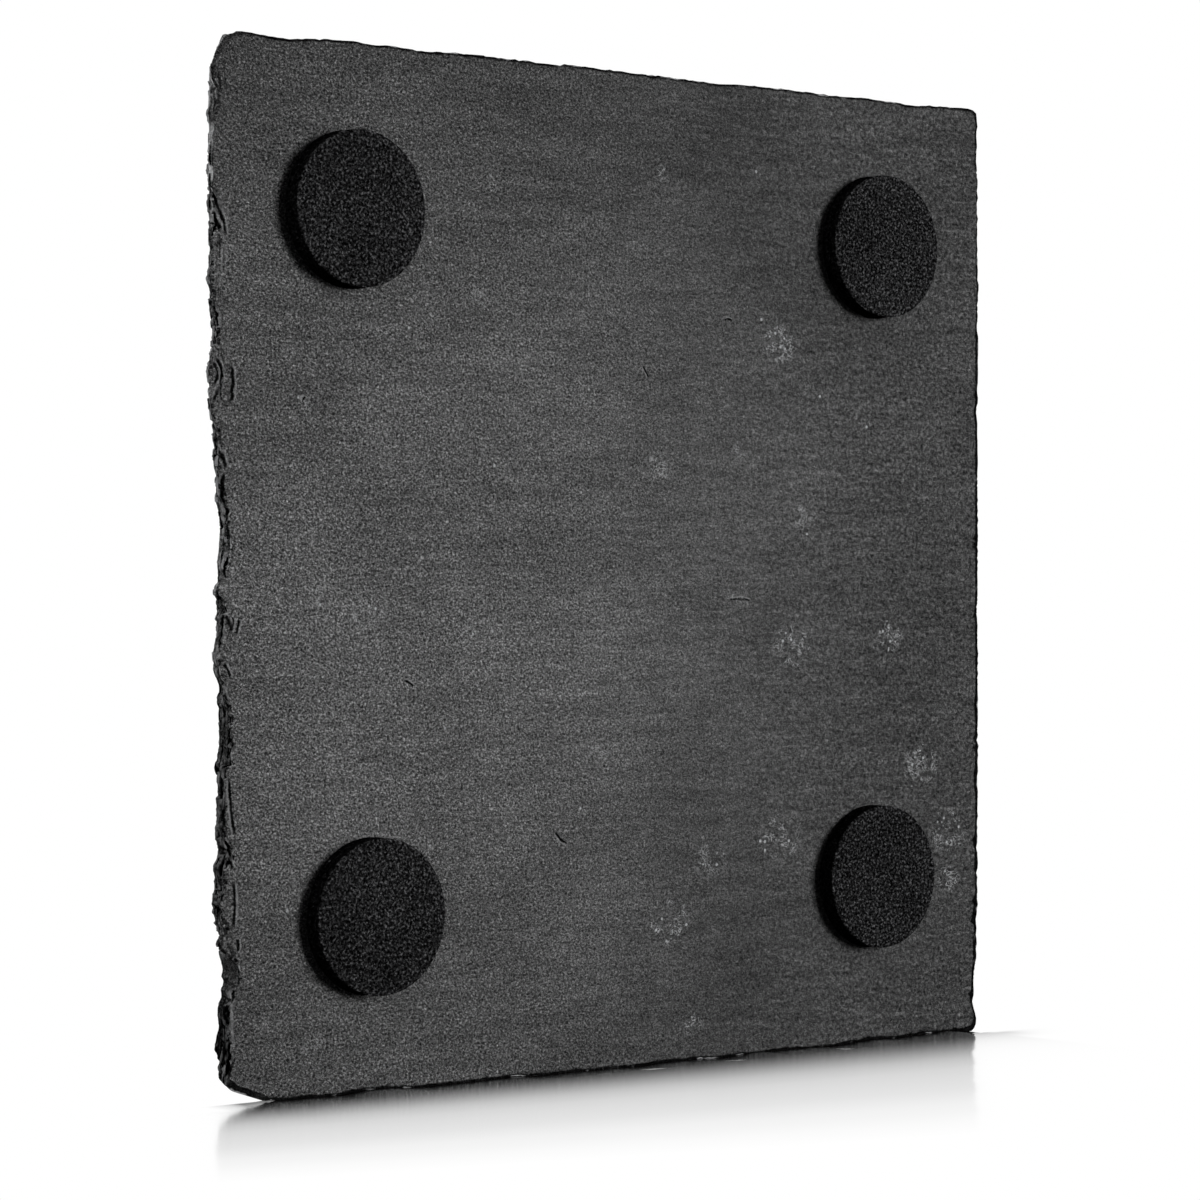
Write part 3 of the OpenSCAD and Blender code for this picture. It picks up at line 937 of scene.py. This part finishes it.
def strokeMarks(f, place):  # how much painted shade and painted highlight each place gets from the strokes
    look = slateLook
    noisy = f.node("TexNoise", None,
                   {"Vector": place, "Scale": look["strokeRun"], "Detail": 2.0}, output="Color")
    shifted = f.vector("MULTIPLY_ADD", noisy, (look["strokeWander"],) * 3, place)
    flat = f.vector("MULTIPLY", shifted, (1, 1, 0))
    half = Vector((look["strokeWander"] / 2, look["strokeWander"] / 2, 0))
    least = 2e-5  # the bend of a straight one
    paintedShading, paintedHighlight = 0, 0
    for start, end, bend, width in strokes:
        a, b = Vector(start + (0,)) + half, Vector(end + (0,)) + half
        chord = b - a
        across = Vector((-chord.y, chord.x, 0)).normalized()
        bend = bend if abs(bend) > least else least
        radius = (chord.length_squared / 4 + bend * bend) / (2 * bend)
        middle = (a + b) / 2 + across * bend
        ring = f.vector("DISTANCE", flat, middle - across * radius, output="Value") - abs(radius)
        along = f.vector("DISTANCE", flat, middle, output="Value")
        ends = 1 - along.between(0.35 * chord.length, 0.52 * chord.length)
        paintedShading = paintedShading + (1 - abs(ring).between(0.5 * width, 1.2 * width)) * ends
        beside = ring.between(width, 1.4 * width) * (1 - ring.between(1.8 * width, 2.6 * width))
        paintedHighlight = paintedHighlight + beside * ends
    return paintedShading.held(), paintedHighlight.held()


def slateFinish():
    material = bpy.data.materials.new("riven_slate")
    f = Finish(material)
    look, run = slateLook, slateLook["grainRun"]
    place = f.place()
    z = f.along("Z", place)
    fades = {name: f.along(axis, place).between(start, end)
             for name, (axis, start, end) in slateFades.items()}
    fine = f.grain((run, 1.2 * run, run), 2.5, 0.65, 0.6)
    soft = f.grain((0.62 * run, 0.72 * run, run), 2.5, 0.6, 0.6)
    grain = fine + (soft - fine) * fades["coarse"]
    worm = 1 - abs(f.grain((0.62 * run, 0.8 * run, run), 1.0, 0.5, 1.8) - 0.5) * 9
    worm = worm.held(-0.6, 1)
    streak = f.grain(look["streakRun"], 3.0, 0.6, 0.4)
    cloud = f.grain(look["cloudRun"], 2.0)
    wrinkle = f.grain(look["wrinkleRun"], 3.0, 0.6, 1.2) - 0.5
    strength = look["grainPower"] * (0.66 + 0.47 * fades["strong"])
    value = (grain * 2) ** strength * (1 + (worm - 0.15) * 0.5)
    value = value * (1 + wrinkle * look["wrinkleShare"] * (1 - 0.75 * fades["flat"]))
    value = value * (1 + (streak - 0.5) * look["streakShare"] + (cloud - 0.5) * look["cloudShare"])
    # a painted pool of light: the stone is painted palest a little to one side of the middle
    away = f.length(f.vector("MULTIPLY_ADD", place, (15, 17, 0), (-0.42, 0.05, 0.0)))
    value = value.held(0.1, 5.0) * (1 - look["lightPoolShare"] * away.between(0.25, 1.15))
    value = value * (1 - 0.08 * fades["dim"])

    # the broken rim: painted shade in its cracks and over the whole rim, deeper towards the bottom and by
    # the cut corner, eased in one band lower down, and a painted lit patch near the top of the +X side
    arris, ledge, rim, edge = [f.stored(name) for name in ("arris", "ledge", "rim", "edge")]
    broken = f.grain(look["brokenRun"], 2.0)
    jagged = f.grain(look["jaggedRun"], 3.0, 0.7)
    bed = f.grain(look["bedRun"], 3.0, 0.62, 0.7) * 0.65 + jagged * 0.35
    seam = ledge.between(0.25, 0.7) * (broken * 0.5 + jagged * 0.5).between(0.42, 0.52)
    litRimPatch = fades["litRimSide"] * fades["litRimFrom"]
    easedShade = fades["mildFrom"] * fades["mildTo"]
    lower = fades["lower"]
    crackShade = (arris.between(0.0, -1.1) + bed.between(0.49, 0.45) + seam).held() * rim
    paintedShading = 1 - (1 - look["crackShade"]) * crackShade * (1 - 0.7 * litRimPatch - 0.6 * easedShade)
    paintedShading = paintedShading * (1 - look["rimShade"] * rim * (0.5 + 0.5 * lower - 0.45 * litRimPatch - 0.5 * easedShade))
    # painted shade on the rim by the cut corner
    paintedShading = paintedShading * (1 - 0.75 * rim * fades["corner"] * fades["cornerRimTo"])

    # painted shade: a dark line round the underside, where the rounded edge is shown in shade
    farSide, corner = fades["farSide"] * fades["farTo"], fades["corner"] * fades["cornerTo"]
    nearSide = fades["nearSide"] * fades["nearTo"] * (1 - corner)
    edgeShadeLine = (edge * (1 + (farSide * 5 + corner * 7) * jagged)).between(0.4, 0.8)
    edgeShadeLine = edgeShadeLine * broken.between(0.26, 0.40)
    edgeShadeLine = edgeShadeLine * (1 - nearSide * (1 - jagged.between(0.50, 0.56)) - 0.5 * litRimPatch)
    paintedShading = paintedShading * (1 - look["edgeLineShade"] * edgeShadeLine) * (1 + 0.7 * rim * litRimPatch)

    # painted shade in the strokes and traces of the rim's lowest layers, then the stone itself, with
    # painted highlights on its arrises, traces and stroke sides, and painted glints under the edge
    below = 1 - z.between(tileLow.z + 0.0008, tileLow.z + 0.0020)
    shadedStrokes, beside = strokeMarks(f, place)
    paintedShading = paintedShading * (1 - look["strokeShade"] * shadedStrokes * below)
    trace = f.grain(look["traceRun"], 3.0, 0.6, 1.0)
    traced = fades["traced"] * f.grain(150, 1.0).between(0.44, 0.56) * below
    paintedShading = paintedShading * (1 - 0.8 * traced * trace.between(0.45, 0.40))
    stone = f.tinted(look["colour"], value * paintedShading)
    stone = f.mixed(traced * trace.between(0.57, 0.63) * 0.25, stone, look["arris"])
    paintedHighlight = (arris.between(0.4, 1.4) + bed.between(0.57, 0.61)).held() * rim * (1 - 0.6 * lower)
    paintedHighlight = paintedHighlight * f.grain(700, 2.0).between(0.40, 0.60)
    stone = f.mixed(paintedHighlight * 0.8, stone, look["arris"])
    stone = f.mixed(beside * below * look["strokeHighlight"], stone, look["arris"])
    glint = edge.between(0.80, 0.95) * (1 - z.between(tileLow.z + 0.00010, tileLow.z + 0.00022))
    glint = glint * f.grain(look["glintRun"], 2.0, 0.7).between(0.57, 0.62)
    stone = f.mixed(glint * 0.7, stone, look["arris"])
    # a fresh bevel is paler, partly as fresh stone and partly as painted light, strongest near the top
    streaky = 0.30 + 0.70 * f.grain(look["freshAndLitRun"], 2.0).between(0.43, 0.57)
    freshAndLit = f.stored("fresh").between(0.15, 0.6) * streaky * (0.25 + 0.75 * fades["freshAndLit"])
    stone = f.mixed(freshAndLit, stone, look["fresh"])

    # scratches, and sparse pale grains that lie thicker where it is worn
    worn = f.stored("worn")
    line = abs(f.grain(look["scratchRun"], 1.0, 0.5, 2.2) - 0.5)
    scratch = (1 - line.between(0.012, 0.045)) * f.grain(look["scratchGapRun"], 1.0).between(0.45, 0.54)
    stone = f.mixed(scratch * worn.between(0.2, 0.7) * 0.9, stone, look["scratch"])
    specks = f.specks(look["speckRun"], look["speckEdge"], 0.998 - 0.22 * worn.between(0.2, 0.9))
    stone = f.mixed(specks * 0.9, stone, look["speck"])

    rough = look["roughness"] + (grain - 0.5) * 0.25
    relief = grain * 0.7 + worm * 0.12 + streak * 0.35
    f.painted(stone, rough, look["gloss"], f.bumped(relief, look["bump"]))
    return material


slate = makeSlate(slateFinish())
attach(slate, "root")
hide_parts("slate_tile")
lowRim = [v.co.xy for v in slate.data.vertices[:6 * sum(slateShape["sideStations"])]]
makeFloors(lowestAlong(np.array([place for place in lowRim if place.y < -0.045])))
print("slate and floors done")

# ---- feet: punched discs of closed-cell foam
footShape = {
    "stations": 180, "wallRows": 14, "rimRadius": 0.00026, "rimRows": 5, "faceRings": 26,
    "waist": 0.00012,  # how far the punched wall is drawn in
    "pores": 0.00004, "poreRun": 2400.0, "sag": 0.00003, "sagRun": 160,
}


def footOutline(radius, height):  # from the middle of the underside out, and up the wall
    shape = footShape
    bend, flat, outline = shape["rimRadius"], radius - shape["rimRadius"], []
    for k in range(shape["faceRings"]):
        outline.append((flat * ((k + 0.35) / shape["faceRings"]) ** 0.9, 0.0))
    for k in range(shape["rimRows"] + 1):
        turn = math.pi / 2 * k / shape["rimRows"]
        outline.append((flat + bend * math.sin(turn), bend * (1 - math.cos(turn))))
    for k in range(1, shape["wallRows"] + 1):
        up = k / shape["wallRows"]
        outline.append((radius - shape["waist"] * math.sin(math.pi * up), bend + (height - bend) * up))
    return outline


def makeFoot(corner, material):
    shape = footShape
    low, high = footBoxes[corner]
    middle, radius, height = (low + high) / 2, (high.x - low.x) / 2, high.z - low.z
    outline = footOutline(radius, height)
    points = [(middle.x, middle.y, low.z)]
    for r, z in outline:
        for i in range(shape["stations"]):
            a = 2 * math.pi * i / shape["stations"]
            p = Vector((middle.x + r * math.cos(a), middle.y + r * math.sin(a), low.z + z))
            pore = shape["pores"] * (0.5 + 0.5 * noise.noise(p * shape["poreRun"]))
            dish = shape["sag"] * (0.5 + 0.5 * noise.noise(p * shape["sagRun"]))
            if z < shape["rimRadius"] * 0.5:
                p.z += pore + dish
            elif z < height - 1e-6:
                p -= Vector((math.cos(a), math.sin(a), 0)) * pore * 1.5
            points.append(tuple(p))
    points.append((middle.x, middle.y, high.z))
    n, rings = shape["stations"], len(outline)
    last = 1 + (rings - 1) * n
    faces = [(0, 1 + (i + 1) % n, 1 + i) for i in range(n)]
    faces += [quad(k, i, n, 1) for k in range(rings - 1) for i in range(n)]
    faces += [(last + i, last + (i + 1) % n, len(points) - 1) for i in range(n)]
    foot = newPiece(corner + "_foam", points, faces, material, 60)
    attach(foot, "root")
    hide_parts(corner + "_foot")


foamLook = {
    "colour": (0.0059, 0.0059, 0.0061),
    "cellRun": 3500.0, "cloudRun": 120, "roughness": 0.85, "gloss": 0.0, "bump": 0.00030,
    "wallShade": 0.8, "wallFrom": 0.00008, "wallBy": 0.00030,  # painted shade: how much darker the wall is painted than the faces
    "lint": (0.16, 0.16, 0.165), "lintRun": 900, "lintEdge": (0.06, 0.16), "lintAbove": 0.965,
}


def foamFinish():
    material = bpy.data.materials.new("black_foam")
    f = Finish(material)
    look, run = foamLook, foamLook["cellRun"]
    cells = {"Vector": f.at(run), "Scale": 1.0}
    cell = f.node("TexVoronoi", {"feature": "F1"}, cells, output="Distance")
    grain = f.grain(run, 3.0, 0.6)
    ridge = (1 - abs(f.grain(0.62 * run, 1.5, 0.5, 1.6) - 0.5) * 11).held()
    # the foam's cells, with their brightest specks painted on as sparkle
    crumb = ridge * (grain * 2) ** 4 * 3.0 + (grain * 2) ** 9 * 0.8
    value = (crumb * (0.4 + 1.2 * f.grain(look["cloudRun"], 2.0))).held(0.02, 16.0)
    shadedWall = f.along("Z", f.place()).between(look["wallFrom"], look["wallBy"])
    foam = f.tinted(look["colour"], value * (1 - look["wallShade"] * shadedWall))
    dust = f.specks(look["lintRun"], look["lintEdge"], look["lintAbove"])
    foam = f.mixed(dust * 0.6, foam, look["lint"])
    f.painted(foam, look["roughness"], look["gloss"], f.bumped(cell * 0.6 + grain * 0.8, look["bump"]))
    return material


foam = foamFinish()
for corner in corners:
    makeFoot(corner, foam)
print("feet done")

# ---- adhesive discs between the foam and the slate
adhesiveLook = {
    "colour": (0.02, 0.019, 0.017), "weaveRun": (1500, 1500, 4000),
    "roughness": 0.55, "gloss": 0.5, "bump": 0.00003,
}


def adhesiveFinish():
    material = bpy.data.materials.new("foam_tape")
    f = Finish(material)
    look = adhesiveLook
    weave = f.grain(look["weaveRun"], 2.0)
    tone = f.tinted(look["colour"], 0.7 + 0.6 * weave)
    f.painted(tone, look["roughness"], look["gloss"], f.bumped(weave, look["bump"]))
    return material


tape = adhesiveFinish()
for corner in corners:
    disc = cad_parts[corner + "_adhesive"]
    disc.data.materials.clear()
    disc.data.materials.append(tape)
print("adhesive done")

bpy.context.scene.view_settings.view_transform = "Standard"
